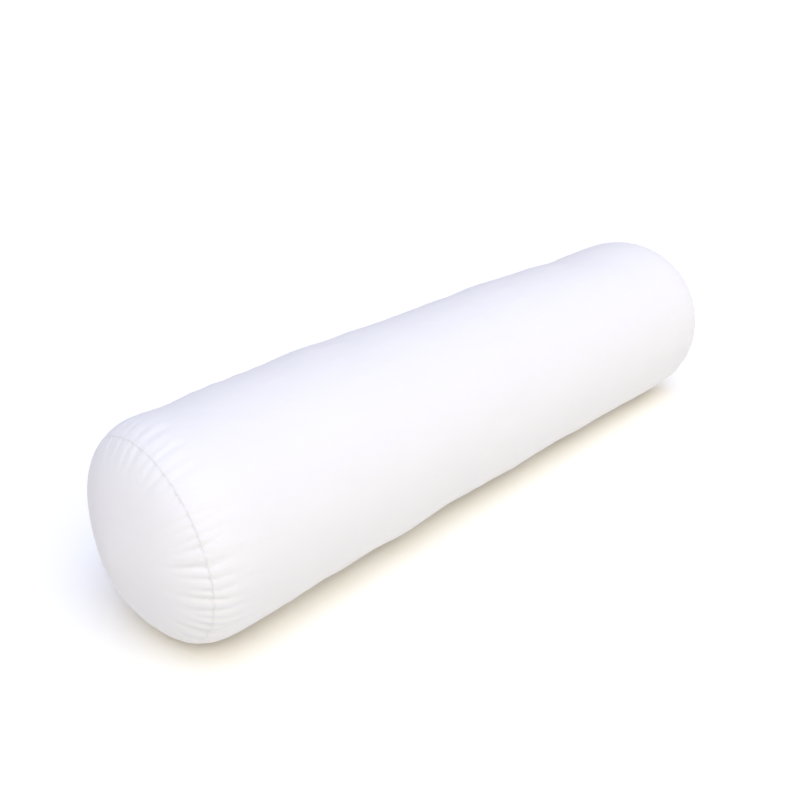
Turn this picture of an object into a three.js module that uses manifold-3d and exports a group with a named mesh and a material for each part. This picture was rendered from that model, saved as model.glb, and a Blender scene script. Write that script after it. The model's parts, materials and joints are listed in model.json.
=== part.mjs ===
// A soft massage and yoga roller: a foam core wrapped in wadding, closed in a liner,
// inside a washable cloth cover with a zip along its back.
//
// Millimetres, +Z up. The roller lies along X; its back, where the zip is, faces +Y.
// Everything is modelled about the roller's own axis, and the whole group is then lifted
// so that the flattened underside lies at Z = 0.

import * as THREE from 'three'
import { mergeVertices } from 'three/addons/utils/BufferGeometryUtils.js'
import Module from 'manifold-3d'

const wasm = await Module()
wasm.setup()

// ---------------------------------------------------------------- driving dimensions

const LENGTH = 800 // over both domed ends
const DIAMETER = 200
const SEAM_X = 364 // where the barrel is sewn to each end
const UNDERSIDE_DEPTH = 92.5 // axis down to the flat that the roller lies on
const BACK_DEPTH = 98 // axis out to the flat strip that the zip lies in

const GAP = 0.3 // left between pieces that touch
const SEAM_GAP = 1.2 // between two sewn edges, with the thread in the middle
const THREAD = 0.6

// The outline of every layer: full and nearly straight, then round to the tip.
const SHOULDER_POWER = 3.65
const END_POWER = 1.2
const OUTLINE_STEPS = [0, 0.32, 0.46, 0.55, 0.63, 0.74, 0.85, 0.94, 0.98, 1]
const SEGMENTS = 40

const COVER_CLOTH = 1.0
const LINER_CLOTH = 0.6

const COVER = {
  radius: DIAMETER / 2,
  shoulder: 320,
  tip: LENGTH / 2,
  floor: -UNDERSIDE_DEPTH,
  back: BACK_DEPTH,
}
const COVER_INSIDE = inset(COVER, COVER_CLOTH)

// The pad is slimmer than its cover and rounder at the shoulder, so it clears the seam edges.
const LINER = { radius: 94.5, shoulder: 300, tip: 394, floor: -90.5, back: 93.3 }
const LINER_INSIDE = inset(LINER, LINER_CLOTH)
const LINER_SEAM_X = 360.6
const WADDING = inset(LINER_INSIDE, GAP)

const CORE_RADIUS = 75
const CORE_LENGTH = 690
const WRAP_JOIN_RADIUS = 86 // where the inner wrap ends and the outer one begins
const WRAP_SLIT = 1

const SEAM_EDGE_DEPTH = 5 // cloth turned in at the end seams
const BACK_EDGE_DEPTH = 3.4 // cloth turned in at the back seam

const ZIP = {
  slotHalfLength: 302,
  slotHalfWidth: 4.6,
  hemHalfLength: 309,
  hemHalfWidth: 12,
  hemBottom: 96,
  tapeHalfLength: 308,
  tapeHalfWidth: 14.6,
  tape: [95.0, 95.7],
  coil: [96.0, 97.8],
  coilHalfLength: 296,
  coilHalfWidth: 3.0,
  halfGap: 0.6, // centre line to the edge of each tape and coil
  stopLength: 2.5,
  stopTop: 98.0,
}
const TOPSTITCH = { halfLength: 305.5, halfWidth: 7.5, bottom: 98.3, width: 0.6, height: 0.4 }

const SLIDER_X = -290 // slider's place with the zip closed
const SLIDER = {
  halfLength: 5,
  halfWidth: 4.2,
  noseHalfWidth: 2.6,
  lowerPlate: [93.7, 94.7],
  upperPlate: [98.1, 99.1],
  sideWall: 0.8,
  sideWallBottom: 96.1,
  postHalfWidth: 0.3,
  bridgeTop: 102.3,
  bridgeOpening: 101.5,
  bridgeHalfLength: 3.4,
  bridgeHalfWidth: 0.6,
}
const PULL = {
  pivotY: 100.3,
  thickness: 1.4,
  length: 22,
  eyeHalfWidth: 2.6,
  tipHalfWidth: 3.4,
  holeLength: 4.5,
  holeHalfWidth: 1.0,
}

// ------------------------------------------------------------------------- materials

function material(colour, roughness, metalness = 0) {
  return new THREE.MeshStandardMaterial({ color: colour, roughness, metalness })
}

const coverCloth = () => material(0xf6f5f7, 0.85)
const linerCloth = () => material(0xece9e2, 0.9)
const thread = () => material(0xf8f8f8, 0.6)
const tapeCloth = () => material(0xf2f2f3, 0.8)
const coilPlastic = () => material(0xf4f4f2, 0.4)
const enamel = () => material(0xf3f3f1, 0.3, 0.1)
const wadding = () => material(0xfafafa, 0.95)
const foam = () => material(0xefe6c8, 0.9)

// ------------------------------------------------------------------- solids and cuts

function inset(layer, depth) {
  return {
    radius: layer.radius - depth,
    shoulder: layer.shoulder,
    tip: layer.tip - depth,
    floor: layer.floor + depth,
    back: layer.back - depth,
  }
}

// A closed geometry as a manifold solid.
function solid(geometry) {
  const bare = geometry.clone()
  bare.deleteAttribute('normal')
  bare.deleteAttribute('uv')
  const merged = mergeVertices(bare, 1e-4)
  const corners = merged.index.array
  const triangles = []
  for (let i = 0; i < corners.length; i += 3) {
    const [a, b, c] = corners.subarray(i, i + 3)
    if (a !== b && b !== c && c !== a) triangles.push(a, b, c)
  }
  const mesh = new wasm.Mesh({
    numProp: 3,
    vertProperties: new Float32Array(merged.attributes.position.array),
    triVerts: new Uint32Array(triangles),
  })
  return new wasm.Manifold(mesh)
}

function geometryOf(body) {
  const { vertProperties, triVerts } = body.getMesh()
  const geometry = new THREE.BufferGeometry()
  geometry.setAttribute('position', new THREE.BufferAttribute(new Float32Array(vertProperties), 3))
  geometry.setIndex(new THREE.BufferAttribute(new Uint32Array(triVerts), 1))
  geometry.computeVertexNormals()
  return geometry
}

function blockGeometry([x0, x1], [y0, y1], [z0, z1]) {
  const geometry = new THREE.BoxGeometry(x1 - x0, y1 - y0, z1 - z0)
  return geometry.translate((x0 + x1) / 2, (y0 + y1) / 2, (z0 + z1) / 2)
}

const block = (x, y, z) => solid(blockGeometry(x, y, z))

// Points [x, radius] turned about the X axis.
function revolved(outline) {
  const points = outline.map(([x, radius]) => new THREE.Vector2(radius, x))
  return new THREE.LatheGeometry(points, SEGMENTS).rotateZ(-Math.PI / 2)
}

function ringGeometry(x0, x1, inner, outer) {
  return revolved([[x0, inner], [x0, outer], [x1, outer], [x1, inner], [x0, inner]])
}

function layerRadius(layer, x) {
  const step = (Math.abs(x) - layer.shoulder) / (layer.tip - layer.shoulder)
  return layer.radius * (1 - step ** SHOULDER_POWER) ** (1 / END_POWER)
}

// The solid inside a layer's outline from x0 to x1, flat on the floor and at the back.
function filled(layer, x0 = -layer.tip, x1 = layer.tip) {
  const reach = layer.tip - layer.shoulder
  const right = OUTLINE_STEPS.map((step) => layer.shoulder + step * reach)
  const left = right.map((x) => -x).reverse()
  const round = revolved([...left, ...right].map((x) => [x, layerRadius(layer, x)]))
  return solid(round).intersect(block([x0, x1], [-DIAMETER, layer.back], [layer.floor, DIAMETER]))
}

// The cloth between a layer and the layer inside it, open at both ends.
function tube(outside, inside, halfLength) {
  return filled(outside, -halfLength, halfLength).subtract(filled(inside))
}

// The cloth of one domed end, open towards the barrel.
function dome(outside, inside, edge) {
  return filled(outside, edge).subtract(filled(inside))
}

// ------------------------------------------------------------------------ scene graph

const roller = new THREE.Group()
roller.position.z = UNDERSIDE_DEPTH

function add(name, geometry, surface) {
  const mesh = new THREE.Mesh(geometry, surface)
  mesh.name = name
  roller.add(mesh)
  return mesh
}

// One piece for each end: made for the right, and turned end for end for the left.
function addEnds(name, geometry, surface) {
  add(`${name}_right`, geometry, surface())
  add(`${name}_left`, geometry, surface()).rotation.z = Math.PI
}

// ------------------------------------------------------------------------------ cover

const coverEdge = SEAM_X - SEAM_GAP / 2
const coverSeamRadius = layerRadius(COVER, SEAM_X)

// The cloth turned in at an end seam: a ring one cloth thick.
function seamEdge(x0, x1) {
  const hole = solid(ringGeometry(x0 - 1, x1 + 1, 0, coverSeamRadius - SEAM_EDGE_DEPTH))
  return filled(COVER, x0, x1).subtract(hole)
}

// The two edges of cloth turned in along the back seam, beyond one end of the zip.
function backSeamEdges(x0, x1) {
  const deep = filled(COVER).subtract(filled(inset(COVER, BACK_EDGE_DEPTH)))
  const width = SEAM_GAP / 2 + COVER_CLOTH
  return deep.intersect(block([x0, x1], [0, DIAMETER], [-width, width]))
}

function coverBarrel() {
  const { slotHalfLength, slotHalfWidth, hemHalfLength, hemHalfWidth, hemBottom } = ZIP
  const hemTop = COVER_INSIDE.back
  const hem = block([-hemHalfLength, hemHalfLength], [hemBottom, hemTop], [-hemHalfWidth, hemHalfWidth])
  const behind = [DIAMETER / 4, DIAMETER]
  const slit = block([-LENGTH, LENGTH], behind, [-SEAM_GAP / 2, SEAM_GAP / 2])
  const slot = block([-slotHalfLength, slotHalfLength], behind, [-slotHalfWidth, slotHalfWidth])
  return tube(COVER, COVER_INSIDE, coverEdge)
    .add(seamEdge(coverEdge - COVER_CLOTH, coverEdge))
    .add(seamEdge(-coverEdge, COVER_CLOTH - coverEdge))
    .add(backSeamEdges(hemHalfLength + 1, coverEdge))
    .add(backSeamEdges(-coverEdge, -hemHalfLength - 1))
    .add(hem)
    .subtract(slit)
    .subtract(slot)
}

function coverEnd() {
  const edge = SEAM_X + SEAM_GAP / 2
  return dome(COVER, COVER_INSIDE, edge).add(seamEdge(edge, edge + COVER_CLOTH))
}

// Sewing thread along the back seam, a little below the surface of the cloth.
function backSeamThread() {
  const top = inset(COVER, COVER_CLOTH)
  const band = filled(top).subtract(filled(inset(top, THREAD)))
  const run = [ZIP.hemHalfLength + 1, coverEdge - COVER_CLOTH]
  return band.intersect(block(run, [0, DIAMETER], [-THREAD / 2, THREAD / 2]))
}

function addCover() {
  const seamRing = [SEAM_X - THREAD / 2, SEAM_X + THREAD / 2]
  const ringTop = coverSeamRadius - THREAD
  const backThread = geometryOf(backSeamThread())
  add('cover_barrel', geometryOf(coverBarrel()), coverCloth())
  addEnds('cover_end', geometryOf(coverEnd()), coverCloth)
  addEnds('end_seam_thread', ringGeometry(...seamRing, ringTop - THREAD, ringTop), thread)
  add('back_seam_thread_right', backThread, thread())
  add('back_seam_thread_left', backThread, thread()).rotation.y = Math.PI
}

// -------------------------------------------------------------------------------- zip

// A box on one side of the zip's centre line: side is 1 for the upper half, -1 for the lower.
function sideBlock(x, y, [near, far], side) {
  const z = [side * near, side * far].sort((a, b) => a - b)
  return blockGeometry(x, y, z)
}

function addZipHalf(name, side) {
  const { tapeHalfLength, tapeHalfWidth, tape, coilHalfLength, coilHalfWidth, coil } = ZIP
  const { halfGap, stopLength, stopTop } = ZIP
  const tapeRun = [-tapeHalfLength, tapeHalfLength]
  const coilRun = [-coilHalfLength, coilHalfLength]
  const stopRun = [-coilHalfLength - GAP - stopLength, -coilHalfLength - GAP]
  const tooth = [halfGap, coilHalfWidth]
  add(`zip_tape_${name}`, sideBlock(tapeRun, tape, [halfGap, tapeHalfWidth], side), tapeCloth())
  add(`zip_coil_${name}`, sideBlock(coilRun, coil, tooth, side), coilPlastic())
  add(`zip_top_stop_${name}`, sideBlock(stopRun, [coil[0], stopTop], tooth, side), enamel())
}

function bottomStop() {
  const start = ZIP.coilHalfLength + GAP
  const across = [-ZIP.coilHalfWidth, ZIP.coilHalfWidth]
  return blockGeometry([start, start + ZIP.stopLength], [ZIP.coil[0], ZIP.stopTop], across)
}

function topstitch() {
  const { halfLength, halfWidth, bottom, width, height } = TOPSTITCH
  const frame = (grow, y) => block(
    [-halfLength - grow, halfLength + grow], y, [-halfWidth - grow, halfWidth + grow],
  )
  const inside = frame(-width / 2, [bottom - 1, bottom + height + 1])
  return frame(width / 2, [bottom, bottom + height]).subtract(inside)
}

// A flat outline of [x, z] points, extruded along Y between two heights.
function plate(outline, [y0, y1]) {
  const shape = new THREE.Shape(outline.map(([x, z]) => new THREE.Vector2(x, -z)))
  const geometry = new THREE.ExtrudeGeometry(shape, { depth: y1 - y0, bevelEnabled: false })
  return solid(geometry.rotateX(-Math.PI / 2).translate(0, y0, 0))
}

// The slider, about its own middle: two plates, two side walls, the wedge and the bridge.
function zipSlider() {
  const { halfLength, halfWidth, noseHalfWidth, lowerPlate, upperPlate, sideWall } = SLIDER
  const { bridgeHalfLength, bridgeHalfWidth, bridgeTop, bridgeOpening } = SLIDER
  const noseLength = halfWidth - noseHalfWidth
  const outline = [
    [-halfLength, -noseHalfWidth],
    [noseLength - halfLength, -halfWidth],
    [halfLength, -halfWidth],
    [halfLength, halfWidth],
    [noseLength - halfLength, halfWidth],
    [-halfLength, noseHalfWidth],
  ]
  const wallRun = [noseLength - halfLength, halfLength]
  const wallHeight = [SLIDER.sideWallBottom, upperPlate[0]]
  const wedge = [-halfLength + 0.5, -halfLength + 2.5]
  const arch = [-bridgeHalfLength, bridgeHalfLength]
  const opening = [sideWall - bridgeHalfLength, bridgeHalfLength - sideWall]
  const across = [-bridgeHalfWidth, bridgeHalfWidth]
  const post = [-SLIDER.postHalfWidth, SLIDER.postHalfWidth]
  const bridge = block(arch, [upperPlate[1], bridgeTop], across)
    .subtract(block(opening, [0, bridgeOpening], across))
  return plate(outline, upperPlate)
    .add(plate(outline, lowerPlate))
    .add(block(wallRun, wallHeight, [halfWidth - sideWall, halfWidth]))
    .add(block(wallRun, wallHeight, [-halfWidth, sideWall - halfWidth]))
    .add(block(wedge, [lowerPlate[1], upperPlate[0]], post))
    .add(bridge)
}

// The pull tab, lying along +X from the pivot, which passes under the slider's bridge.
function zipPull() {
  const { pivotY, thickness, length, eyeHalfWidth, tipHalfWidth, holeLength, holeHalfWidth } = PULL
  const half = thickness / 2
  const outline = [
    [-half, -eyeHalfWidth],
    [half + holeLength + 1, -eyeHalfWidth],
    [length - tipHalfWidth, -tipHalfWidth],
    [length - 1, -tipHalfWidth / 2],
    [length, 0],
    [length - 1, tipHalfWidth / 2],
    [length - tipHalfWidth, tipHalfWidth],
    [half + holeLength + 1, eyeHalfWidth],
    [-half, eyeHalfWidth],
  ]
  const depth = [pivotY - half, pivotY + half]
  const hole = block([half, half + holeLength], depth, [-holeHalfWidth, holeHalfWidth])
  return plate(outline, depth).subtract(hole)
}

function addZip() {
  addZipHalf('upper', 1)
  addZipHalf('lower', -1)
  add('zip_bottom_stop', bottomStop(), enamel())
  add('zip_topstitch', geometryOf(topstitch()), thread())
  add('zip_slider', geometryOf(zipSlider()), enamel()).position.x = SLIDER_X
  add('zip_pull', geometryOf(zipPull()), enamel()).position.x = SLIDER_X
}

// -------------------------------------------------------------------------------- pad

const linerEdge = LINER_SEAM_X - SEAM_GAP / 2

function linerBarrel() {
  const slit = block([-LENGTH, LENGTH], [DIAMETER / 4, DIAMETER], [-SEAM_GAP / 2, SEAM_GAP / 2])
  return tube(LINER, LINER_INSIDE, linerEdge).subtract(slit)
}

// The thread that closes the liner once it is filled, from one end seam to the other.
function linerClosingThread() {
  const run = [GAP - linerEdge, linerEdge - GAP]
  const strip = block(run, [DIAMETER / 4, DIAMETER], [-THREAD / 2, THREAD / 2])
  return tube(LINER, LINER_INSIDE, linerEdge).intersect(strip)
}

function addLiner() {
  const seamRing = [LINER_SEAM_X - THREAD / 2, LINER_SEAM_X + THREAD / 2]
  const ringTop = layerRadius(LINER, LINER_SEAM_X)
  const end = dome(LINER, LINER_INSIDE, LINER_SEAM_X + SEAM_GAP / 2)
  add('liner_barrel', geometryOf(linerBarrel()), linerCloth())
  addEnds('liner_end', geometryOf(end), linerCloth)
  addEnds('liner_seam_thread', ringGeometry(...seamRing, ringTop - THREAD, ringTop), thread)
  add('liner_closing_thread', geometryOf(linerClosingThread()), thread())
}

// One sheet of wadding wrapped round to a butt joint: joint is 1 on top, -1 underneath.
function wrap(outside, inner, joint) {
  const half = CORE_LENGTH / 2
  const bore = solid(ringGeometry(-half - 1, half + 1, 0, inner))
  const z = [0, joint * DIAMETER].sort((a, b) => a - b)
  const slit = block([-LENGTH, LENGTH], [-WRAP_SLIT / 2, WRAP_SLIT / 2], z)
  return outside.subtract(bore).subtract(slit)
}

function addWadding() {
  const half = CORE_LENGTH / 2
  const discEnd = LINER_SEAM_X
  const innerWrap = solid(ringGeometry(-half, half, 0, WRAP_JOIN_RADIUS))
  const outerWrap = filled(WADDING, -half, half)
  const disc = filled(WADDING, half + GAP, discEnd)
  const crown = filled(WADDING, discEnd + GAP)
  add('wadding_inner_wrap', geometryOf(wrap(innerWrap, CORE_RADIUS + GAP, -1)), wadding())
  add('wadding_outer_wrap', geometryOf(wrap(outerWrap, WRAP_JOIN_RADIUS + GAP, 1)), wadding())
  addEnds('end_wadding_disc', geometryOf(disc), wadding)
  addEnds('end_wadding_crown', geometryOf(crown), wadding)
}

function addCore() {
  const core = new THREE.CylinderGeometry(CORE_RADIUS, CORE_RADIUS, CORE_LENGTH, SEGMENTS)
  add('foam_core', core.rotateZ(-Math.PI / 2), foam())
}

// --------------------------------------------------------------------------- assembly

addCover()
addZip()
addLiner()
addWadding()
addCore()

export default roller
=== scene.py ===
"""A soft white bolster roller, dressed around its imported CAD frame.

The cover is sewn from a barrel and two end panels. Their closed surface is worked out here,
puckered along the end seams, relaxed by a cloth simulation and then cut back into its three
panels, each a closed sheet of cloth with its edges turned in. Metres, in the CAD's frame:
X along the roller, +Y out of the back where the zip is, +Z up.
"""

import json
import math

import bpy
import numpy as np
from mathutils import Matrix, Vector

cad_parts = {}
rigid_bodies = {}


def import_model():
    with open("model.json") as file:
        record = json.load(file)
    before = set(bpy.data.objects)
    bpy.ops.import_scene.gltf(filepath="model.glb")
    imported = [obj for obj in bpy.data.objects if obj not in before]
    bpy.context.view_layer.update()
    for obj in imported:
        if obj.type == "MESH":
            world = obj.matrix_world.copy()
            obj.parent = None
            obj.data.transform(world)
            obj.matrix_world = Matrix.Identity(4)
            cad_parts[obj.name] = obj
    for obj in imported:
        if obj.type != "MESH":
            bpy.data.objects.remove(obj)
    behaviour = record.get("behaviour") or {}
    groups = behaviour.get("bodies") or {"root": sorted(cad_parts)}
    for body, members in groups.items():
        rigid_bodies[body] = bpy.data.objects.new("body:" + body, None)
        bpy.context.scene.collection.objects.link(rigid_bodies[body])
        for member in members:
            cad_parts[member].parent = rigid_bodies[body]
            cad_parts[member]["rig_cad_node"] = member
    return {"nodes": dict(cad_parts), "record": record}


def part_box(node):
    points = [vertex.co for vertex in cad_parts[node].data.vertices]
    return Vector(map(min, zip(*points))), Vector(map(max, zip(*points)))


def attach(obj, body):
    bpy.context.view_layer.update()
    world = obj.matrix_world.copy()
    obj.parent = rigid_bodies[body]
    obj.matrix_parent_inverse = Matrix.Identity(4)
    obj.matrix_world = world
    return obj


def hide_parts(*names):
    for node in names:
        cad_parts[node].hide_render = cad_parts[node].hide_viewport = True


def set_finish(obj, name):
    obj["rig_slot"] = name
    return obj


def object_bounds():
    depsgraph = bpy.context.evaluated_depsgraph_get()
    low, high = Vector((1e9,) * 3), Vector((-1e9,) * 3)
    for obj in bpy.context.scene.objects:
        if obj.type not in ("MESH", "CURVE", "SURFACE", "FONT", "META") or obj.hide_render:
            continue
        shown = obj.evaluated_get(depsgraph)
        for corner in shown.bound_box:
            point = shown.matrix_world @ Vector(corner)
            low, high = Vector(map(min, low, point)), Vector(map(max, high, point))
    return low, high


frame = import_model()
NODES = frame["nodes"]
CAD_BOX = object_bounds()

MM = 0.001
FULL_TURN = 2 * math.pi
rng = np.random.default_rng(20)

# ---- Measures from the frame ----


def middle(node):
    low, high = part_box(node)
    return (low + high) / 2


AXIS_Z = middle("foam_core").z
SEAM_X = middle("end_seam_thread_right").x
TIP_X = CAD_BOX[1].x
BARREL_R = -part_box("cover_barrel")[0].y
BACK_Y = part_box("cover_barrel")[1].y
HEM_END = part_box("zip_tape_upper")[1].x
THREAD_HALF = 0.3 * MM  # half of a CAD thread's width
SLOT_MARGIN = 3.2 * MM  # from the end of the zip's slot to the stitching across it
STITCH_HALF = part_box("zip_topstitch")[1].z - AXIS_Z - THREAD_HALF
STITCH_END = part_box("zip_topstitch")[1].x - THREAD_HALF
SLOT_END = STITCH_END - SLOT_MARGIN

# ---- Shape of the cover ----

SHOULDER = 44 * MM  # where the barrel starts to close in, before its seam
SHOULDER_POWER = 3.65
END_POWER = 1.2
RADIUS_MIDDLE = 1.0  # of BARREL_R
RADIUS_TAPER = 0.0185  # the right end is plumper than the left one
AXIS_BOW_Y = -3.6 * MM
AXIS_BOW_Z = -2.0 * MM
FLOOR_SOFTNESS = 2.5 * MM
STRIP_FLAT = 12 * MM  # half width of the flat strip behind the zip
STRIP_FADE = 26 * MM
STRIP_END = 345 * MM
BACK_KEPT = (40 * MM, 75 * MM)  # towards the back, where the zip's line stays straight

RINGS = 54  # of the square-to-disc layout of an end panel
COLUMNS = 8 * RINGS
ROW_STEPS = (0.9 * MM, 11 * MM)  # rows lie close together at the seams and far apart in the middle
ROW_GROWTH = 0.12
SLOT_ROWS_MM = (-5.5, -2.5, -0.5, 0.5, 2.5, 4.5, 7.0)  # rows near each end of the slot, from its end
SLOT_ROW_CLEARANCE = 1.5 * MM
PROFILE_STEPS = 600
RING_CROWDING = 0.35  # how much closer an end panel's rings lie near its seam
CALM_REACH = 30 * MM  # within this of a seam the stuffing makes no lumps of its own
END_RIPPLE = 0.8 * MM
END_RIPPLE_TURNS = 3
END_RIPPLE_PHASE = 1.3

SEAM_PINCH = 0.3 * MM
SEAM_PINCH_REACH = 1.3 * MM
CLOTH = 0.8 * MM


def smoothstep(low, high, value):
    t = np.clip((value - low) / (high - low), 0, 1)
    return t * t * (3 - 2 * t)


def outline_radius(step):
    """Share of the barrel's radius at a step from the shoulder (0) to the tip (1)."""
    return np.clip(1 - np.clip(step, 0, 1) ** SHOULDER_POWER, 0, None) ** (1 / END_POWER)


REACH = TIP_X - SEAM_X + SHOULDER
SEAM_STEP = SHOULDER / REACH


def barrel_rows():
    """Where the barrel's rings of points lie along X, close together at the seams and the slot's ends."""
    finest, widest = ROW_STEPS
    runs = [0.0]
    while runs[-1] < SEAM_X:
        runs.append(runs[-1] + min(finest + ROW_GROWTH * runs[-1], widest))
    half = SEAM_X * (1 - np.array(runs) / runs[-1])
    slot_rows = SLOT_END + np.array(SLOT_ROWS_MM) * MM
    half = half[np.abs(half[:, None] - slot_rows).min(axis=1) > SLOT_ROW_CLEARANCE]
    half = np.concatenate([half, slot_rows])
    return np.unique(np.concatenate([half, -half]))


def taper(x):
    """The cover's radius at a place along it, as a share of the CAD barrel's."""
    return RADIUS_MIDDLE + RADIUS_TAPER * x / SEAM_X


def end_profile(rings):
    """x, radius and distance to the seam of an end panel's rings, from the tip to the seam."""
    step = 1 - np.linspace(0, 1, PROFILE_STEPS) ** 2 * (1 - SEAM_STEP)
    x = SEAM_X - SHOULDER + step * REACH
    radius = BARREL_R * outline_radius(step)
    run = np.concatenate([[0], np.cumsum(np.hypot(np.diff(x), np.diff(radius)))])
    share = np.arange(rings + 1) / rings
    share = share + RING_CROWDING * share * (1 - share)
    at = share * run[-1]
    return np.interp(at, run, x), np.interp(at, run, radius), run[-1] - at


# Gathers: each is a shallow valley that runs out from the seam on both sides of it.
GATHERS = 62
GATHER_JITTER = 0.36
GATHER_WIDTH = 2.1 * MM
GATHER_SPREAD = 0.08
GATHER_SHARPNESS = 1.4
GATHER_FADE = 1.6  # how abruptly a gather ends at its reach
BARREL_GATHER_SKEW = 0.16
END_GATHER_SKEW = 0.12
BARREL_GATHER_REACH = (10 * MM, 27 * MM)
END_GATHER_REACH = (10 * MM, 28 * MM)
GATHER_DEPTH = (0.9 * MM, 2.7 * MM)
PULLED_ANGLE = math.radians(215)  # low on the front, where the gathers are pulled in most
PULLED_SHARE = 0.4


def make_gathers():
    """The gathers of one seam: where each lies, how deep it is, and how far and how straight it runs."""
    jitter = rng.uniform(-1, 1, GATHERS) * GATHER_JITTER
    angle = (np.arange(GATHERS) + jitter) * FULL_TURN / GATHERS
    pulled = 1 - PULLED_SHARE * (1 - np.cos(angle - PULLED_ANGLE))
    return {
        "angle": angle,
        "depth": rng.uniform(*GATHER_DEPTH, GATHERS) * pulled,
        "barrel": rng.uniform(*BARREL_GATHER_REACH, GATHERS),
        "end": rng.uniform(*END_GATHER_REACH, GATHERS),
        "barrel_skew": rng.normal(0, BARREL_GATHER_SKEW, GATHERS),
        "end_skew": rng.normal(0, END_GATHER_SKEW, GATHERS),
    }


def gathered(gathers, side, angle, distance):
    """How far the cloth lies below its smooth surface, by angle and distance from the seam."""
    sunk = np.zeros(np.broadcast(angle, distance).shape)
    for i in range(GATHERS):
        reach = gathers[side][i]
        turn = angle - gathers["angle"][i] - gathers[side + "_skew"][i] * distance / BARREL_R
        across = (np.mod(turn + math.pi, FULL_TURN) - math.pi) * BARREL_R
        width = GATHER_WIDTH + GATHER_SPREAD * distance
        along = np.exp(-((distance / reach) ** GATHER_FADE))
        sunk += gathers["depth"][i] * along * np.exp(-(np.abs(across / width) ** GATHER_SHARPNESS))
    return sunk + SEAM_PINCH * np.exp(-distance / SEAM_PINCH_REACH)


# Lumps and hollows of the stuffing: place along X, degrees round the barrel (0 at the back, 90 on
# top), height, spread along X, spread in degrees.
LUMPS = [
    (-310 * MM, 60, -2.4 * MM, 26 * MM, 40),
    (-165 * MM, 60, 2.0 * MM, 34 * MM, 45),
    (90 * MM, 60, 1.5 * MM, 38 * MM, 45),
    (235 * MM, 60, -2.2 * MM, 52 * MM, 50),
    (-245 * MM, 224, -1.2 * MM, 26 * MM, 36),
    (-145 * MM, 224, 1.2 * MM, 24 * MM, 32),
    (-85 * MM, 224, -1.1 * MM, 20 * MM, 30),
    (15 * MM, 224, 1.1 * MM, 26 * MM, 34),
]

# Slow waves of the stuffing: height, length along X, turns round the barrel, phase.
WAVES = [
    (0.22 * MM, 96 * MM, 1, 0.4),
    (0.2 * MM, 137 * MM, -2, 2.1),
    (0.14 * MM, 61 * MM, 2, 4.0),
    (0.12 * MM, 74 * MM, -3, 1.2),
]


def stuffing(x, angle):
    """How far the stuffing lifts the barrel above its plain outline."""
    height = np.zeros(np.broadcast(x, angle).shape)
    for x_at, degrees, size, along, around in LUMPS:
        turn = np.mod(angle - math.radians(degrees) + math.pi, FULL_TURN) - math.pi
        height += size * np.exp(-(((x - x_at) / along) ** 2) - (turn / math.radians(around)) ** 2)
    for size, length, turns, phase in WAVES:
        height += size * np.sin(FULL_TURN * x / length + turns * angle + phase)
    return height


def place(x, radius, angle):
    """Points of the cover from its round coordinates: bowed, flat on the floor and behind the zip."""
    bow = (x / SEAM_X) ** 2 - 1 / 3
    back, rise = radius * np.cos(angle), radius * np.sin(angle)
    kept = smoothstep(*BACK_KEPT, back) * (1 - smoothstep(STRIP_FADE, 3 * STRIP_FADE, np.abs(rise)))
    y = back + AXIS_BOW_Y * bow
    z = rise + AXIS_BOW_Z * bow * (1 - kept) + AXIS_Z
    off_axis = np.abs(z - AXIS_Z)
    behind = (1 - smoothstep(STRIP_FLAT, STRIP_FADE, off_axis)) * (y > 0)
    behind = behind * (1 - smoothstep(HEM_END, STRIP_END, np.abs(x)))
    y = y + (BACK_Y - y) * behind
    z = FLOOR_SOFTNESS * np.logaddexp(0, z / FLOOR_SOFTNESS)
    return np.stack(np.broadcast_arrays(x, y, z), -1)


def barrel_points(x_rows, gathers):
    x = x_rows[:, None]
    angle = np.arange(COLUMNS)[None] * FULL_TURN / COLUMNS
    distance = SEAM_X - np.abs(x)
    step = (np.abs(x) - SEAM_X + SHOULDER) / REACH
    radius = BARREL_R * taper(x) * outline_radius(step)
    radius = radius + stuffing(x, angle) * smoothstep(0, CALM_REACH, distance)
    for end, side in ((-1, "left"), (1, "right")):
        near = np.where(end * x > 0, distance, SEAM_X)
        radius = radius - gathered(gathers[side], "barrel", angle, near)
    return place(x, radius, angle)


def disc_layout():
    """The square grid of an end panel: each point's ring and turn round it, and the grid's quads."""
    side = np.arange(-RINGS, RINGS + 1)
    a, b = (grid.ravel() for grid in np.meshgrid(side, side, indexing="ij"))
    ring = np.maximum(np.abs(a), np.abs(b))
    wide = np.abs(a) >= np.abs(b)
    with np.errstate(divide="ignore", invalid="ignore"):
        turn = np.where(wide, b / a + np.where(a < 0, 4, 0), 2 - a / b + np.where(b < 0, 4, 0))
    turn = np.where(ring == 0, 0, turn) * math.pi / 4
    count = 2 * RINGS + 1
    corner = (np.arange(count - 1)[:, None] * count + np.arange(count - 1)[None]).ravel()
    quads = np.stack([corner, corner + count, corner + count + 1, corner + 1], -1)
    return ring, np.mod(turn, FULL_TURN), quads


RING, TURN, DISC_QUADS = disc_layout()
RIM = np.flatnonzero(RING == RINGS)
RIM = RIM[np.argsort(np.round(TURN[RIM] * COLUMNS / FULL_TURN).astype(int))]


def end_points(end, gathers):
    x_ring, radius_ring, distance_ring = end_profile(RINGS)
    distance = distance_ring[RING]
    sunk = gathered(gathers, "end", TURN, distance)
    calm = smoothstep(0, CALM_REACH, distance)
    ripple = END_RIPPLE * np.sin(END_RIPPLE_TURNS * TURN + END_RIPPLE_PHASE * end)
    ripple = ripple * np.sin(math.pi * RING / RINGS)
    along_x, outwards = np.gradient(x_ring), np.gradient(radius_ring)
    lean = (np.abs(along_x) / np.hypot(along_x, outwards))[RING]  # radial share of the normal
    lift = ripple * calm - sunk
    radius = radius_ring[RING] * taper(end * SEAM_X) + lift * lean
    x = x_ring[RING] + lift * np.sqrt(1 - lean**2)
    return place(end * x, radius, TURN)


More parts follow.
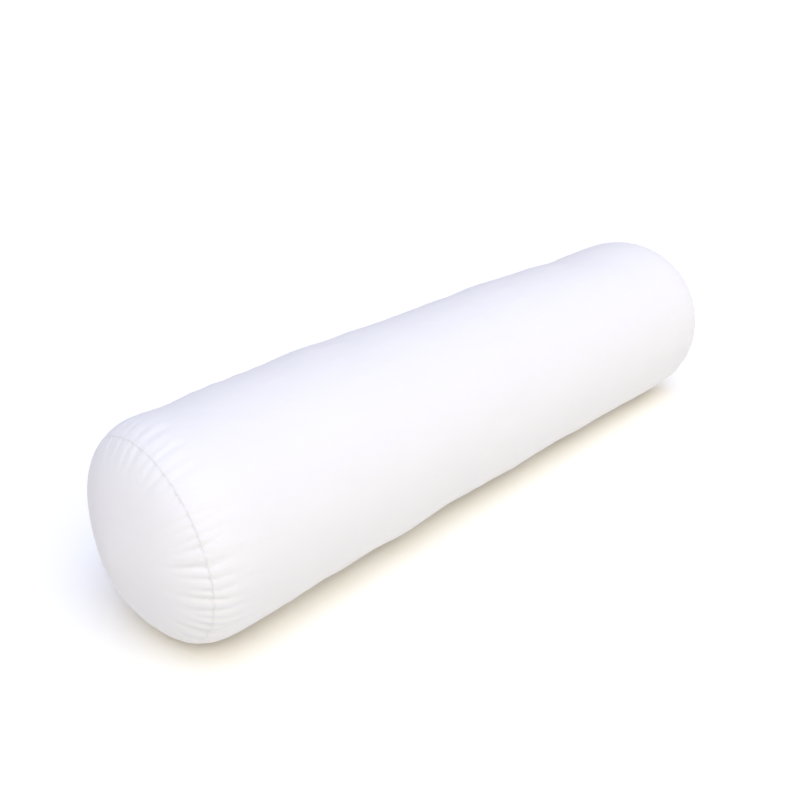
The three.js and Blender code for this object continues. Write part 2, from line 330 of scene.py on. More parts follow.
# ---- Mesh functions ----


def mesh_object(name, points, faces, smooth=True):
    """A new object in the scene, made of points and faces."""
    mesh = bpy.data.meshes.new(name)
    mesh.from_pydata(np.asarray(points, float).tolist(), [], [tuple(map(int, f)) for f in faces])
    mesh.update()
    if smooth:
        mesh.polygons.foreach_set("use_smooth", [True] * len(mesh.polygons))
    piece = bpy.data.objects.new(name, mesh)
    bpy.context.scene.collection.objects.link(piece)
    return piece


def grid_quads(rows, columns, closed=False):
    """Quads of a grid stored row by row. A closed grid joins its last column to its first."""
    r = np.arange(rows - 1)[:, None] * columns
    c = np.arange(columns if closed else columns - 1)[None]
    n = (c + 1) % columns
    return np.stack([r + c, r + n, r + columns + n, r + columns + c], -1).reshape(-1, 4)


# ---- The cover as one closed bag ----


def closed_cover(gathers):
    """Points and quads of the closed cover: the barrel's grid, then each end panel's inner points."""
    x_rows = barrel_rows()
    barrel = barrel_points(x_rows, gathers)
    ends = {side: end_points(end, gathers[side]) for end, side in ((-1, "left"), (1, "right"))}
    rows = len(x_rows)
    points = [barrel.reshape(-1, 3)]
    quads = [grid_quads(rows, COLUMNS, closed=True)]
    index = {}
    start = rows * COLUMNS
    for side, edge_row in (("left", 0), ("right", rows - 1)):
        numbers = np.zeros(len(RING), int)
        inner = np.flatnonzero(RING < RINGS)
        numbers[inner] = start + np.arange(len(inner))
        numbers[RIM] = edge_row * COLUMNS + np.arange(COLUMNS)
        start += len(inner)
        points.append(ends[side][inner])
        disc = numbers[DISC_QUADS]
        quads.append(disc if side == "right" else disc[:, ::-1])
        index[side] = numbers
    return x_rows, np.concatenate(points), np.concatenate(quads), index


RELAX_FRAMES = 16
RELAX_CAP = 2.5 * MM
HELD_AT_SEAM = 0.2 * MM
HELD_ON_FLOOR = 0.5 * MM


def held_points(points):
    """True where the cover is held while it relaxes: at the seams, behind the zip and on the floor."""
    x, y, z = points.T
    at_seam = np.abs(np.abs(x) - SEAM_X) < HELD_AT_SEAM
    behind = (y > 0) & (np.abs(z - AXIS_Z) < STRIP_FADE) & (np.abs(x) < STRIP_END)
    return at_seam | behind | (z < HELD_ON_FLOOR)


def relax(points, quads):
    """The cover's points after a cloth simulation under pressure, none moved further than the cap."""
    bag = mesh_object("relaxing_cover", points, quads)
    held = bag.vertex_groups.new(name="held")
    for index in np.flatnonzero(held_points(points)):
        held.add([int(index)], 1.0, "ADD")
    cloth = bag.modifiers.new("cloth", "CLOTH")
    settings = cloth.settings
    settings.quality = 4
    settings.mass = 0.002
    settings.tension_stiffness = 8
    settings.compression_stiffness = 8
    settings.shear_stiffness = 2
    settings.bending_stiffness = 0.02
    settings.use_pressure = True
    settings.uniform_pressure_force = 4
    settings.vertex_group_mass = "held"
    settings.effector_weights.gravity = 0
    cloth.collision_settings.use_collision = False
    cloth.point_cache.frame_start = 1
    cloth.point_cache.frame_end = RELAX_FRAMES
    for step in range(1, RELAX_FRAMES + 1):
        bpy.context.scene.frame_set(step)
    shown = bag.evaluated_get(bpy.context.evaluated_depsgraph_get())
    flat = np.empty(len(points) * 3, np.float32)
    shown.data.vertices.foreach_get("co", flat)
    moved = flat.reshape(-1, 3) - points
    bpy.context.scene.frame_set(1)
    bpy.data.objects.remove(bag)
    length = np.linalg.norm(moved, axis=1, keepdims=True)
    capped = RELAX_CAP * np.tanh(length / RELAX_CAP) / np.maximum(length, 1e-9)
    return points + moved * capped


# ---- Panels of cloth with thickness ----

EDGE_ROUND = 0.8 * MM  # radius of a folded edge
SLOT_HALF = 4.6 * MM
SLIT_HALF = 0.12 * MM
SLOT_CLOSING = 3 * MM  # half the length over which the slot narrows to the slit of the seam
STRIP_SHARE = 20 * MM  # columns within this of the centre line make room for the slot
HEM = 12 * MM
HEM_THICKNESS = 1.9 * MM
SEAM_ALLOWANCE = 3.0 * MM
SEAM_SLIT = 0.06 * MM  # half the gap left between two sewn edges
EDGE_RUNS = (1.6 * MM, 3.6 * MM)  # how far the sewn edge turns in, row by row
GROOVE = 0.35 * MM
GROOVE_WIDTH = 1.1 * MM
SHARP_ANGLE = math.radians(50)
FOLD_ANGLES = np.radians([35, 65, 90])
RIM_LEAN = 0.6  # how far the rim's normals lean inwards, so that the cloth's inside clears the barrel


def slot_half(x):
    """Half the gap between the cover's two back edges."""
    closing = smoothstep(SLOT_END - SLOT_CLOSING, SLOT_END + SLOT_CLOSING, np.abs(x))
    return SLIT_HALF + (SLOT_HALF - SLIT_HALF) * (1 - closing)


def surface_normals(grid):
    """Outward normals of a (rows, columns, 3) grid with rows along +X and columns from +Y to +Z."""
    along = np.gradient(grid, axis=0)
    around = np.gradient(grid, axis=1)
    normals = np.cross(around, along)
    return normals / np.maximum(np.linalg.norm(normals, axis=2, keepdims=True), 1e-12)


def open_back(grid):
    """The barrel's grid with a column more, its back columns moved aside for the zip and the seam."""
    grid = np.concatenate([grid, grid[:, :1]], axis=1)
    columns = grid.shape[1]
    side = np.where(np.arange(columns) < columns / 2, 1.0, -1.0)[None]
    off = np.abs(grid[..., 2] - AXIS_Z)
    near = (grid[..., 1] > 0) & (off < STRIP_SHARE)
    gap = slot_half(grid[..., 0]) + EDGE_ROUND
    spread = gap + off * (STRIP_SHARE - gap) / STRIP_SHARE
    grid[..., 2] = np.where(near, AXIS_Z + side * spread, grid[..., 2])
    off = np.abs(grid[..., 2] - AXIS_Z)
    x = np.abs(grid[..., 0])
    beside = np.exp(-(((off - STITCH_HALF) / GROOVE_WIDTH) ** 2)) * (x < STITCH_END + GROOVE_WIDTH)
    across = np.exp(-(((x - STITCH_END) / GROOVE_WIDTH) ** 2)) * (off < STITCH_HALF)
    grid[..., 1] -= GROOVE * np.maximum(beside, across) * (grid[..., 1] > 0)
    return grid


def back_thickness(grid):
    """The cloth's thickness: more at the hem of the zip's slot and at the seam beyond it."""
    off = np.abs(grid[..., 2] - AXIS_Z)
    behind = grid[..., 1] > 0
    zipped = np.abs(grid[..., 0]) < HEM_END
    hem = behind & zipped & (off < HEM)
    seam = behind & ~zipped & (off < 2 * EDGE_ROUND + SLIT_HALF)
    return np.where(hem, HEM_THICKNESS, np.where(seam, SEAM_ALLOWANCE, CLOTH))[..., None]


def turn_in(row):
    """Rows of a sewn edge that turns in towards the axis, from the panel's last row."""
    inwards = np.array([0, 0, AXIS_Z]) - row
    inwards[:, 0] = 0
    inwards /= np.linalg.norm(inwards, axis=1, keepdims=True)
    return [row + inwards * run for run in EDGE_RUNS]


def sharp_rims(panel):
    """Keeps the shading of the outside from bleeding over the edges where the cloth turns in."""
    panel.data.set_sharp_from_angle(angle=SHARP_ANGLE)
    return panel


def folded_edge(column, inside, normal, side):
    """Points that round off one edge of the cloth, from its outside down to its inside."""
    aside = np.array([0, 0, side]) * EDGE_ROUND
    points = [column + aside * math.sin(a) - normal * EDGE_ROUND * (1 - math.cos(a)) for a in FOLD_ANGLES]
    depth = np.linalg.norm(inside - column, axis=1, keepdims=True)
    points.append(column + aside - normal * np.maximum(depth, 1.2 * EDGE_ROUND))
    return np.stack(points, 1)


def barrel_panel(grid):
    """The barrel as one closed sheet of cloth: a loop of points for each row, lofted along X."""
    grid = open_back(grid)
    grid[0, :, 0] += SEAM_SLIT
    grid[-1, :, 0] -= SEAM_SLIT
    normals = surface_normals(grid)
    inner = grid - normals * back_thickness(grid)
    left = turn_in(grid[0])
    right = turn_in(grid[-1])
    along = np.array([CLOTH, 0, 0])
    outer = np.concatenate([np.array(left[::-1]), grid, np.array(right)])
    inner = np.concatenate([np.array(left[::-1]) + along, inner, np.array(right) - along])
    turned = (len(EDGE_RUNS), len(EDGE_RUNS))
    normals = np.pad(normals, (turned, (0, 0), (0, 0)), mode="edge")
    first = folded_edge(outer[:, 0], inner[:, 0], normals[:, 0], -1)
    last = folded_edge(outer[:, -1], inner[:, -1], normals[:, -1], 1)
    loop = np.concatenate([first[:, ::-1], outer, last, inner[:, ::-1]], axis=1)
    rows, width = loop.shape[:2]
    quads = grid_quads(rows, width, closed=True)
    edge, columns = first.shape[1], outer.shape[1]

    def cap(start):
        """Faces that close the cloth's edge at one end, between a loop's outer and inner points."""
        first_edge = range(start, start + edge)
        last_edge = range(start + edge + columns, start + 2 * edge + columns)
        outside = start + edge + np.arange(columns)
        inside = start + width - 1 - np.arange(columns)
        faces = list(zip(outside, inside, inside[1:], outside[1:]))
        faces.append((inside[0], *first_edge, outside[0])[::-1])
        faces.append((outside[-1], *last_edge, inside[-1])[::-1])
        return faces

    faces = [tuple(q) for q in quads]
    faces += [f[::-1] for f in cap(0)]
    faces += cap((rows - 1) * width)
    return sharp_rims(mesh_object("barrel_cloth", loop.reshape(-1, 3), faces))


def end_panel(name, points, end):
    """An end panel as one closed sheet of cloth: its disc, turned in round the rim, and its inside."""
    points = points.copy()
    points[RIM, 0] += end * SEAM_SLIT
    count = 2 * RINGS + 1
    grid = points.reshape(count, count, 3)
    normals = np.cross(np.gradient(grid, axis=0), np.gradient(grid, axis=1)).reshape(-1, 3) * end
    rim_out = points[RIM] - points[RIM].mean(0)
    rim_out[:, 0] = -RIM_LEAN * np.linalg.norm(rim_out[:, 1:], axis=1) * end
    normals[RIM] = rim_out
    normals /= np.linalg.norm(normals, axis=1, keepdims=True)
    inner = points - normals * CLOTH
    turned = turn_in(points[RIM])
    along = np.array([end * CLOTH, 0, 0])
    total = len(points)
    all_points = np.concatenate([points, inner, *turned, *(row + along for row in turned)])
    turned_at = 2 * total + np.arange(4 * COLUMNS).reshape(4, COLUMNS)
    outer_rings = [RIM, turned_at[0], turned_at[1]]
    inner_rings = [RIM + total, turned_at[2], turned_at[3]]

    def bands(rings):
        faces = []
        for a, b in zip(rings, rings[1:]):
            a2, b2 = np.roll(a, -1), np.roll(b, -1)
            faces += list(zip(a, b, b2, a2))
        return faces

    faces = [tuple(q) for q in DISC_QUADS] + [tuple(q[::-1]) for q in DISC_QUADS + total]
    faces += bands(outer_rings) + [f[::-1] for f in bands(inner_rings)]
    faces += bands([outer_rings[-1], inner_rings[-1]])
    if end < 0:
        faces = [f[::-1] for f in faces]
    return sharp_rims(mesh_object(name, all_points, faces))


gathers = {"left": make_gathers(), "right": make_gathers()}
x_rows, cover_points, cover_quads, end_index = closed_cover(gathers)
cover_points = relax(cover_points, cover_quads)

barrel_grid = cover_points[: len(x_rows) * COLUMNS].reshape(len(x_rows), COLUMNS, 3)
barrel = barrel_panel(barrel_grid)
ends = {
    side: end_panel(f"end_cloth_{side}", cover_points[end_index[side]], end)
    for end, side in ((-1, "left"), (1, "right"))
}
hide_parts("cover_barrel")
for side, piece in ends.items():
    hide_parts(f"cover_end_{side}")
for piece in (barrel, *ends.values()):
    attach(piece, "bolster")
    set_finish(piece, "cover_cloth")


# ---- Sewing thread ----

THREAD_RADIUS = 0.27 * MM
STITCH_SIDES = 8
STITCH_PITCH = 3.2 * MM
STITCH_SHARE = 0.84  # of the pitch, the rest is the gap between two stitches
STITCH_JITTER = 0.03 * MM
STITCH_SINK = 0.3 * MM  # how far the seams' stitches lie below the edges that they join
TOPSTITCH_RISE = 0.12 * MM
BACK_SEAM_ENDS = (STITCH_END + 3 * MM, SEAM_X - 2 * MM)


def stitch_shape(length):
    """One stitch along X, arched a little: its points ring by ring, and its faces."""
    run = np.array([-0.5, -0.36, 0, 0.36, 0.5])[:, None] * length
    girth = np.array([0.4, 0.9, 1, 0.9, 0.4])[:, None] * THREAD_RADIUS
    rise = np.array([-0.9, -0.2, 0.1, -0.2, -0.9])[:, None] * THREAD_RADIUS
    turn = np.arange(STITCH_SIDES) * FULL_TURN / STITCH_SIDES
    rings = np.broadcast_arrays(run, girth * np.cos(turn), rise + girth * np.sin(turn))
    points = np.stack(rings, -1).reshape(-1, 3)
    faces = [tuple(quad) for quad in grid_quads(len(run), STITCH_SIDES, closed=True)]
    first = tuple(range(STITCH_SIDES))
    last = tuple(corner + len(points) - STITCH_SIDES for corner in first)
    return points, faces + [first[::-1], last]


def spaced(path, up):
    """Middles, directions and up vectors of the stitches along a line of points."""
    run = np.concatenate([[0], np.cumsum(np.linalg.norm(np.diff(path, axis=0), axis=1))])
    count = int(run[-1] / STITCH_PITCH)
    at = (np.arange(count) + 0.5) * run[-1] / count
    half = STITCH_PITCH / 2

    def sample(values, where):
        return np.stack([np.interp(where, run, values[:, i]) for i in range(3)], -1)

    along = sample(path, at + half) - sample(path, at - half)
    return sample(path, at), along, sample(up, at)


def stitched(name, lines, *replaced):
    """One piece of all the stitches along some lines, each a pair of points and up vectors."""
    shape, shape_faces = stitch_shape(STITCH_PITCH * STITCH_SHARE)
    points, faces = [], []
    for path, up in lines:
        for centre, along, above in zip(*spaced(path, up)):
            along = along / np.linalg.norm(along)
            above = above - along * (above @ along)
            above = above / np.linalg.norm(above)
            axes = np.stack([along, np.cross(above, along), above])
            start = len(points) * len(shape)
            points.append(centre + rng.normal(0, STITCH_JITTER, 3) + shape @ axes)
            faces += [tuple(corner + start for corner in face) for face in shape_faces]
    piece = mesh_object(name, np.concatenate(points), faces)
    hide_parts(*replaced)
    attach(piece, "bolster")
    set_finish(piece, "sewing_thread")


def seam_ring(row):
    """The closed line of an end seam, just below the edges that it joins."""
    ring = np.concatenate([barrel_grid[row], barrel_grid[row, :1]])
    outwards = ring - np.array([0, 0, AXIS_Z])
    outwards[:, 0] = 0
    outwards /= np.linalg.norm(outwards, axis=1, keepdims=True)
    return ring - outwards * STITCH_SINK, outwards


def back_seam(end):
    """The short seam between the zip's slot and an end of the cover."""
    first, last = BACK_SEAM_ENDS
    line = barrel_grid[:, 0]
    line = line[(line[:, 0] * end > first) & (line[:, 0] * end < last)]
    up = np.tile([0.0, 1.0, 0.0], (len(line), 1))
    return line - up * STITCH_SINK * 2, up


def around_slot():
    """The four straight lines of topstitching round the zip's slot."""
    y = BACK_Y - GROOVE + TOPSTITCH_RISE
    corners = [(-1, -1), (1, -1), (1, 1), (-1, 1), (-1, -1)]
    corners = [np.array([x * STITCH_END, y, AXIS_Z + z * STITCH_HALF]) for x, z in corners]
    up = np.array([[0.0, 1.0, 0.0]] * 2)
    return [(np.stack(pair), up) for pair in zip(corners, corners[1:])]


stitched("topstitching", around_slot(), "zip_topstitch")
for side, row, end in (("left", 0, -1), ("right", -1, 1)):
    stitched(f"end_stitches_{side}", [seam_ring(row)], f"end_seam_thread_{side}")
    stitched(f"back_stitches_{side}", [back_seam(end)], f"back_seam_thread_{side}")

# ---- The zip ----

COIL_PITCH = 1.5 * MM
COIL_WIRE = 0.28 * MM
COIL_STEPS = 12
COIL_SIDES = 6
COIL_INNER = 0.35 * MM  # where the loops start, beside the slider's post
BEVEL_STEPS = 3
BEVEL_ANGLE = math.radians(30)
JOIN_DISTANCE = 0.001 * MM


def coil_half(name, node, side):
    """One half of the zip's coil: a flattened helix of nylon wire in its CAD block's place."""
    low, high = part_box(node)
    outer = max(abs(low.z - AXIS_Z), abs(high.z - AXIS_Z))
    turns = int((high.x - low.x - 2 * COIL_WIRE) / COIL_PITCH)
    turn = np.linspace(0, turns * FULL_TURN, turns * COIL_STEPS + 1)
    x = low.x + COIL_WIRE + COIL_PITCH * turn / FULL_TURN
    tall = (high.y - low.y) / 2 - COIL_WIRE
    wide = (outer - COIL_INNER) / 2 - COIL_WIRE
    phase = turn + (math.pi if side > 0 else 0)
    y = (low.y + high.y) / 2 + tall * np.sin(phase)
    z = AXIS_Z + side * ((outer + COIL_INNER) / 2 + wide * np.cos(phase))
    line = np.stack([x, y, z], -1)
    along = np.gradient(line, axis=0)
    along /= np.linalg.norm(along, axis=1, keepdims=True)
    up = np.stack([np.zeros_like(x), np.sin(phase), side * np.cos(phase)], -1)
    up -= along * (up * along).sum(1, keepdims=True)
    up /= np.linalg.norm(up, axis=1, keepdims=True)
    aside = np.cross(along, up)
    round_wire = np.arange(COIL_SIDES) * FULL_TURN / COIL_SIDES
    rings = [line + COIL_WIRE * (math.cos(a) * up + math.sin(a) * aside) for a in round_wire]
    points = np.stack(rings, 1).reshape(-1, 3)
    faces = [tuple(quad) for quad in grid_quads(len(line), COIL_SIDES, closed=True)]
    first = tuple(range(COIL_SIDES))
    faces += [first[::-1], tuple(corner + len(points) - COIL_SIDES for corner in first)]
    piece = mesh_object(name, points, faces)
    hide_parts(node)
    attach(piece, "bolster")
    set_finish(piece, "zip_coil")


coil_half("zip_teeth_upper", "zip_coil_upper", 1)
coil_half("zip_teeth_lower", "zip_coil_lower", -1)


def soften_edges(node, width):
    """Rounds the sharp edges of a CAD node that is shown as it is."""
    piece = NODES[node]
    piece.modifiers.new("join", "WELD").merge_threshold = JOIN_DISTANCE
    bevel = piece.modifiers.new("rounding", "BEVEL")
    bevel.width = width
    bevel.segments = BEVEL_STEPS
    bevel.limit_method = "ANGLE"
    bevel.angle_limit = BEVEL_ANGLE
    bevel.harden_normals = True


soften_edges("zip_slider", 0.3 * MM)
soften_edges("zip_pull", 0.3 * MM)
for node in ("zip_top_stop_upper", "zip_top_stop_lower", "zip_bottom_stop"):
    soften_edges(node, 0.25 * MM)
for node in ("zip_tape_upper", "zip_tape_lower"):
    soften_edges(node, 0.15 * MM)

# ---- Materials ----


class Finish:
    """A material and short ways to add its nodes."""

    def __init__(self, name, colour, roughness):
        self.material = bpy.data.materials.new(name)
        self.material.use_nodes = True
        self.tree = self.material.node_tree
        self.shader = self.tree.nodes["Principled BSDF"]
        self.shader.inputs["Base Color"].default_value = (*colour, 1)
        self.shader.inputs["Roughness"].default_value = roughness
        self.place = self.node("TexCoord").outputs["Object"]
        xyz = self.node("SeparateXYZ", Vector=self.place)
        self.x, self.y = xyz.outputs["X"], xyz.outputs["Y"]
        self.z = self.math("SUBTRACT", xyz.outputs["Z"], AXIS_Z)

    def node(self, kind, settings=(), **inputs):
        node = self.tree.nodes.new("ShaderNode" + kind)
        for name, value in dict(settings).items():
            setattr(node, name, value)
        for name, value in inputs.items():
            self.feed(node.inputs[name.replace("_", " ")], value)
        return node

    def feed(self, socket, value):
        if isinstance(value, bpy.types.NodeSocket):
            self.tree.links.new(value, socket)
        else:
            socket.default_value = value

    def math(self, operation, a, b=0.0):
        node = self.node("Math", {"operation": operation})
        self.feed(node.inputs[0], a)
        self.feed(node.inputs[1], b)
        return node.outputs["Value"]

    def noise(self, size, detail=2.0, stretch=None):
        """Soft noise from 0 to 1 with spots of that size, pulled out along an axis if asked."""
        place = self.place
        if stretch:
            place = self.node("Mapping", Vector=place, Scale=stretch).outputs["Vector"]
        noise = self.node("TexNoise", Vector=place, Scale=1 / size, Detail=detail)
        return noise.outputs["Fac"]

    def ramp(self, value, low, high, to_low, to_high):
        """Runs a value smoothly from one range to another."""
        limits = {"From_Min": low, "From_Max": high, "To_Min": to_low, "To_Max": to_high}
        node = self.node("MapRange", {"interpolation_type": "SMOOTHSTEP"}, Value=value, **limits)
        return node.outputs["Result"]

    def wave(self, value, pitch):
        """A sine of a distance, one turn for two pitches."""
        return self.math("SINE", self.math("MULTIPLY", value, math.pi / pitch))

    def weave(self, along, across, pitch):
        """A plain weave: threads of two directions that pass over and under each other."""
        return self.math("MULTIPLY", self.wave(along, pitch), self.wave(across, pitch))

    def sum(self, *terms):
        """The sum of (value, factor) pairs."""
        total = 0.0
        for value, factor in terms:
            total = self.math("ADD", self.math("MULTIPLY", value, factor), total)
        return total

    def tint(self, share, colour, base=None):
        """Blends the base colour towards another one and returns the result."""
        node = self.node("Mix", {"data_type": "RGBA"})
        self.feed(node.inputs["Factor"], share)
        self.feed(node.inputs[6], base or tuple(self.shader.inputs["Base Color"].default_value))
        self.feed(node.inputs[7], (*colour, 1))
        self.feed(self.shader.inputs["Base Color"], node.outputs[2])
        return node.outputs[2]

    def bump(self, height_mm):
        """Raises the surface by a height in millimetres."""
        bump = self.node("Bump", Height=height_mm, Distance=MM)
        self.feed(self.shader.inputs["Normal"], bump.outputs["Normal"])

    def sheen(self, weight, roughness):
        self.shader.inputs["Sheen Weight"].default_value = weight
        self.shader.inputs["Sheen Roughness"].default_value = roughness


COVER_WHITE = (0.795, 0.79, 0.785)
# painted shade: the colour the cloth is drawn towards at the end seams, in place of the shade in their
# groove
SEAM_PAINTED_SHADE = (0.70, 0.685, 0.67)
COVER_WEAVE = 0.45 * MM


def cover_finish(name, round_barrel):
    """Fine white cotton: plain weave, soft unevenness, and painted shade along the end seams."""
    cloth = Finish(name, COVER_WHITE, 0.88)
    if round_barrel:
        whole_radius = round(BARREL_R * math.pi / COVER_WEAVE) * COVER_WEAVE / math.pi
        along = cloth.x
        across = cloth.math("MULTIPLY", cloth.math("ARCTAN2", cloth.z, cloth.y), whole_radius)
    else:
        along, across = cloth.y, cloth.z
    weave = cloth.weave(along, across, COVER_WEAVE)
    soft = cloth.noise(9 * MM, detail=3.0)
    slubs = cloth.noise(1.6 * MM, detail=2.0, stretch=(0.25, 1, 1))
    cloth.bump(cloth.sum((weave, 0.012), (soft, 0.22), (slubs, 0.03)))
    patches = cloth.ramp(cloth.noise(70 * MM, detail=2.0), 0.35, 0.75, 0.0, 0.1)
    toned = cloth.tint(patches, (0.76, 0.75, 0.74))
    # Painted shade: the cloth is drawn greyer within about 2 mm of each end seam, as shade in the seam's
    # groove.
    from_middle = cloth.math("ABSOLUTE", cloth.x)
    from_seam = cloth.math("ABSOLUTE", cloth.math("SUBTRACT", from_middle, SEAM_X))
    cloth.tint(cloth.ramp(from_seam, 0.2 * MM, 2.2 * MM, 0.15, 0.0), SEAM_PAINTED_SHADE, toned)
    cloth.feed(cloth.shader.inputs["Roughness"], cloth.ramp(soft, 0.3, 0.7, 0.82, 0.92))
    cloth.sheen(0.12, 0.5)
    return cloth.material


def thread_finish():
    """Twisted cotton thread with a little fuzz."""
    thread = Finish("sewing_thread", (0.84, 0.84, 0.83), 0.6)
    diagonal = thread.sum((thread.x, 1.0), (thread.y, 0.7), (thread.z, 1.0))
    fuzz = thread.noise(0.25 * MM, detail=2.0)
    thread.bump(thread.sum((thread.wave(diagonal, 0.22 * MM), 0.035), (fuzz, 0.04)))
    thread.tint(thread.ramp(fuzz, 0.45, 0.75, 0.0, 0.35), (0.7, 0.7, 0.69))
    thread.sheen(0.25, 0.4)
    return thread.material


def tape_finish():
    """Woven zip tape: a fine herringbone with a ribbed cord along each tooth edge, and painted shade in
    the twill's grooves.
    """
    tape = Finish("zip_tape", (0.78, 0.78, 0.775), 0.75)
    off = tape.math("ABSOLUTE", tape.z)
    slope = tape.math("PINGPONG", off, 2.2 * MM)
    twill = tape.wave(tape.sum((tape.x, 1.0), (slope, 1.0)), 0.3 * MM)
    ribs = tape.wave(off, 0.55 * MM)
    tape.bump(tape.sum((twill, 0.035), (ribs, 0.02)))
    # Painted shade: the tape is drawn darker where the twill's bump is lowest.
    tape.tint(tape.ramp(twill, -1.0, 1.0, 0.22, 0.0), (0.6, 0.6, 0.59))
    tape.feed(tape.shader.inputs["Roughness"], tape.ramp(tape.noise(4 * MM), 0.3, 0.7, 0.68, 0.82))
    return tape.material


def coil_finish():
    """White nylon wire with faint yellowed streaks."""
    nylon = Finish("zip_coil", (0.82, 0.82, 0.80), 0.35)
    streaks = nylon.noise(1.2 * MM, detail=3.0)
    nylon.feed(nylon.shader.inputs["Roughness"], nylon.ramp(streaks, 0.3, 0.7, 0.28, 0.45))
    nylon.tint(nylon.ramp(streaks, 0.5, 0.8, 0.0, 0.3), (0.74, 0.735, 0.70))
    nylon.bump(nylon.sum((streaks, 0.015)))
    return nylon.material


def enamel_finish():
    """White enamel on a die-cast slider, rubbed through to grey metal in small spots."""
    enamel = Finish("white_enamel", (0.8, 0.8, 0.785), 0.28)
    spots = enamel.noise(1.4 * MM, detail=4.0)
    worn = enamel.ramp(spots, 0.66, 0.7, 0.0, 1.0)
    enamel.tint(worn, (0.42, 0.42, 0.43))
    enamel.feed(enamel.shader.inputs["Metallic"], enamel.math("MULTIPLY", worn, 0.8))
    peel = enamel.noise(0.7 * MM, detail=1.0)
    enamel.feed(enamel.shader.inputs["Roughness"], enamel.ramp(peel, 0.3, 0.7, 0.2, 0.36))
    enamel.bump(enamel.sum((peel, 0.02), (worn, -0.03)))
    enamel.shader.inputs["Coat Weight"].default_value = 0.3
    return enamel.material


def liner_finish():
    """Unbleached cotton with darker flecks."""
    liner = Finish("liner_cloth", (0.74, 0.70, 0.61), 0.9)
    around = liner.math("MULTIPLY", liner.math("ARCTAN2", liner.z, liner.y), BARREL_R)
    weave = liner.weave(liner.x, around, 0.6 * MM)
    flecks = liner.noise(0.9 * MM, detail=2.0, stretch=(0.3, 1, 1))
    liner.bump(liner.sum((weave, 0.04), (liner.noise(7 * MM), 0.3)))
    liner.tint(liner.ramp(flecks, 0.66, 0.74, 0.0, 0.6), (0.5, 0.42, 0.3))
    return liner.material


def wadding_finish():
    """Loose polyester fibres, with painted shade between them."""
    wadding = Finish("wadding", (0.84, 0.84, 0.83), 0.95)
    fibres = wadding.noise(1.5 * MM, detail=6.0, stretch=(0.15, 1, 1))
    tufts = wadding.noise(12 * MM, detail=4.0)
    wadding.bump(wadding.sum((fibres, 0.6), (tufts, 2.0)))
    # Painted shade: the wadding is drawn darker where the fibre bump is lowest.
    wadding.tint(wadding.ramp(fibres, 0.35, 0.6, 0.3, 0.0), (0.66, 0.66, 0.65))
    wadding.sheen(0.4, 0.5)
    return wadding.material


def foam_finish():
    """Open-cell foam: small pits in a pale yellow skin, with painted shade in the pits."""
    foam = Finish("foam", (0.72, 0.66, 0.42), 0.95)
    cells = foam.node("TexVoronoi", Vector=foam.place, Scale=1 / (1.4 * MM)).outputs["Distance"]
    foam.bump(foam.sum((cells, 0.5)))
    # Painted shade: the foam is drawn darker and browner at the bottom of each pit.
    foam.tint(foam.ramp(cells, 0.0, 0.35, 0.45, 0.0), (0.5, 0.42, 0.22))
    return foam.material


def dress():
    """Gives every piece and every CAD node the material of its slot in the record."""
    finishes = {
        "cover_cloth": cover_finish("cover_barrel_cloth", round_barrel=True),
        "sewing_thread": thread_finish(),
        "zip_tape": tape_finish(),
        "zip_coil": coil_finish(),
        "white_enamel": enamel_finish(),
        "liner_cloth": liner_finish(),
        "wadding": wadding_finish(),
        "foam": foam_finish(),
    }
    end_cloth = cover_finish("cover_end_cloth", round_barrel=False)
    slots = {part["node"]: part["material_slot"] for part in frame["record"]["subparts"]}
    for piece in [o for o in bpy.context.scene.objects if o.type == "MESH"]:
        name = piece.get("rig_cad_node")
        finish = finishes[slots[name] if name else piece["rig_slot"]]
        if "end_cloth" in piece.name or (name or "").startswith("cover_end"):
            finish = end_cloth
        piece.data.materials.clear()
        piece.data.materials.append(finish)


dress()

# ---- Camera and lights ----

scene = bpy.context.scene

CAMERA_AZIMUTH = math.radians(-45.4)
CAMERA_ELEVATION = math.radians(26.3)
CAMERA_DISTANCE = 0.829
CAMERA_TARGET = Vector((-0.0784, 0, AXIS_Z + 0.0225))
LENS = 37.2

SOFT_LIGHT = math.radians(60)  # how wide each light looks
ROOM_LIGHT = (0.39, 0.335, 0.325)
BRIGHT_SIDE = (0.24, -0.3, 0.1)
KEY_FROM = (-27, 58)  # azimuth and elevation in degrees
KEY_LIGHT = (0.70, 0.685, 0.60)
TOP_FROM = (0, 90)
TOP_LIGHT = (0.055, 0.14, 0.375)
FLOOR_WHITE = (0.965, 0.955, 0.90)
FLOOR_REACH = 400


def look_from(azimuth, elevation):
    """The direction from the object to a viewer. Azimuth 0 is in front, at -Y."""
    return Vector((
        math.sin(azimuth) * math.cos(elevation),
        -math.cos(azimuth) * math.cos(elevation),
        math.sin(elevation),
    ))


def make_camera():
    data = bpy.data.cameras.new("camera")
    data.lens = LENS
    data.sensor_width = 36
    data.clip_start, data.clip_end = 0.01, 1000
    camera = bpy.data.objects.new("camera", data)
    back = look_from(CAMERA_AZIMUTH, CAMERA_ELEVATION)
    camera.location = CAMERA_TARGET + back * CAMERA_DISTANCE
    camera.rotation_euler = (-back).to_track_quat("-Z", "Y").to_euler()
    scene.collection.objects.link(camera)
    scene.camera = camera


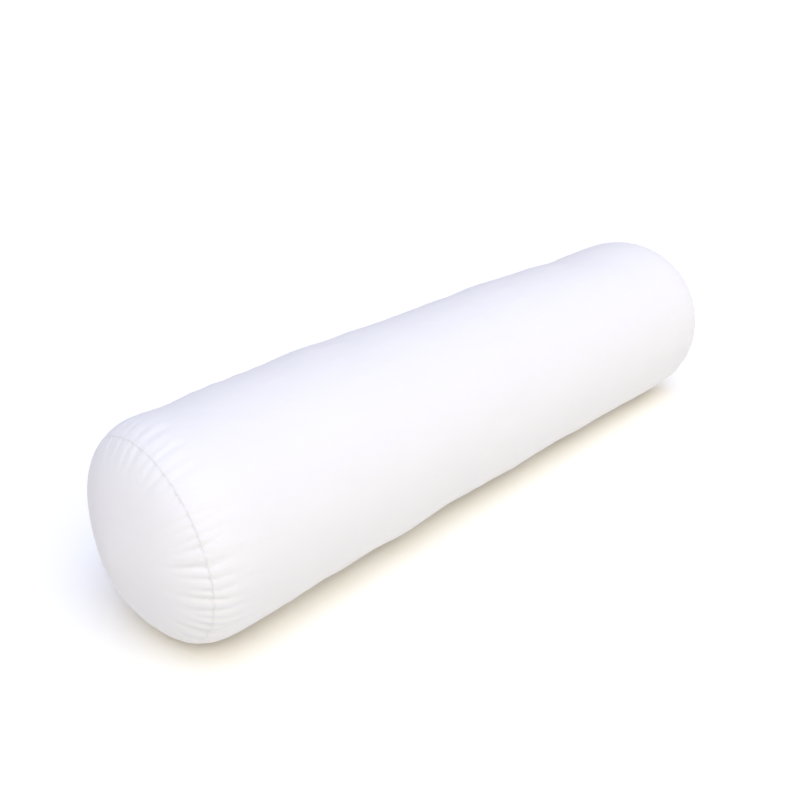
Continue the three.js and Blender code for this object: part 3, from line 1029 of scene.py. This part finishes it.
def make_sun(name, azimuth, elevation, colour):
    """A wide soft light from far away. Its colour is what a white surface facing it sends back."""
    data = bpy.data.lights.new(name, "SUN")
    data.angle = SOFT_LIGHT
    data.energy = math.pi
    data.color = colour
    light = bpy.data.objects.new(name, data)
    back = look_from(math.radians(azimuth), math.radians(elevation))
    light.rotation_euler = (-back).to_track_quat("-Z", "Y").to_euler()
    scene.collection.objects.link(light)


def make_world():
    """Dim soft light, stronger from one side. Past the floor's edge the camera sees plain white."""
    world = bpy.data.worlds.new("studio")
    world.use_nodes = True
    nodes, links = world.node_tree.nodes, world.node_tree.links
    around = nodes["Background"]
    around.inputs["Color"].default_value = (*ROOM_LIGHT, 1)
    direction = nodes.new("ShaderNodeTexCoord")
    towards = nodes.new("ShaderNodeVectorMath")
    towards.operation = "DOT_PRODUCT"
    towards.inputs[1].default_value = BRIGHT_SIDE
    strength = nodes.new("ShaderNodeMath")
    strength.operation = "ADD"
    strength.inputs[1].default_value = 1
    links.new(direction.outputs["Generated"], towards.inputs[0])
    links.new(towards.outputs["Value"], strength.inputs[0])
    links.new(strength.outputs["Value"], around.inputs["Strength"])
    beyond = nodes.new("ShaderNodeBackground")
    beyond.inputs["Color"].default_value = (1, 1, 1, 1)
    seen = nodes.new("ShaderNodeLightPath")
    mix = nodes.new("ShaderNodeMixShader")
    links.new(seen.outputs["Is Camera Ray"], mix.inputs["Fac"])
    links.new(around.outputs["Background"], mix.inputs[1])
    links.new(beyond.outputs["Background"], mix.inputs[2])
    links.new(mix.outputs["Shader"], nodes["World Output"].inputs["Surface"])
    scene.world = world


def floor_material():
    material = bpy.data.materials.new("floor")
    material.use_nodes = True
    shader = material.node_tree.nodes["Principled BSDF"]
    shader.inputs["Base Color"].default_value = (*FLOOR_WHITE, 1)
    shader.inputs["Roughness"].default_value = 1.0
    shader.inputs["Specular IOR Level"].default_value = 0.0
    return material


def make_floor():
    corners = [(x * FLOOR_REACH, y * FLOOR_REACH, 0) for x, y in ((-1, -1), (1, -1), (1, 1), (-1, 1))]
    floor = mesh_object("floor", corners, [(0, 1, 2, 3)], smooth=False)
    floor.data.materials.append(floor_material())


make_camera()
make_world()
make_sun("key", *KEY_FROM, KEY_LIGHT)
make_sun("top", *TOP_FROM, TOP_LIGHT)
make_floor()
scene.view_settings.view_transform = "Standard"
